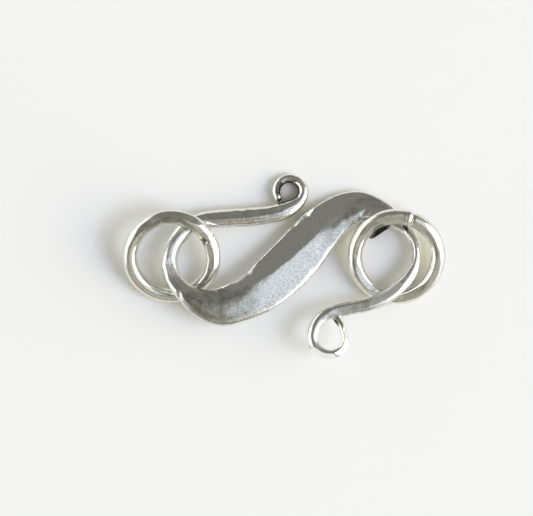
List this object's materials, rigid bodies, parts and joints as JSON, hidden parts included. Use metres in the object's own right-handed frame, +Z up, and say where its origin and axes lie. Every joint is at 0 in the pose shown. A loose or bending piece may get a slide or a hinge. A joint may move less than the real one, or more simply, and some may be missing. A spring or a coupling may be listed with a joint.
{
  "type": "s-hook clasp with jump rings",
  "caption": "Forged silver S-hook clasp for a necklace or bracelet: a broad domed blade between two hooks with scrolled ends, each hook holding a soldered jump ring.",
  "frame": {"origin": "middle of the footprint, on the table that the clasp lies on", "axes": "+X runs through the two rings, with the hook that is drawn thinner on the +X side; +Y points to the side of the upper scroll; +Z is up from the table"},
  "size_m": [0.0262, 0.015, 0.0037],
  "materials": {
    "hook_silver": "polished silver with fine hammer and file marks, dark tarnish in the notches and on the lip",
    "ring_silver": "polished silver wire, worn, with a solder seam"
  },
  "bodies": {
    "root": {"s_hook": "hook_silver", "ring_left": "ring_silver", "ring_right": "ring_silver"}
  },
  "joints": []
}
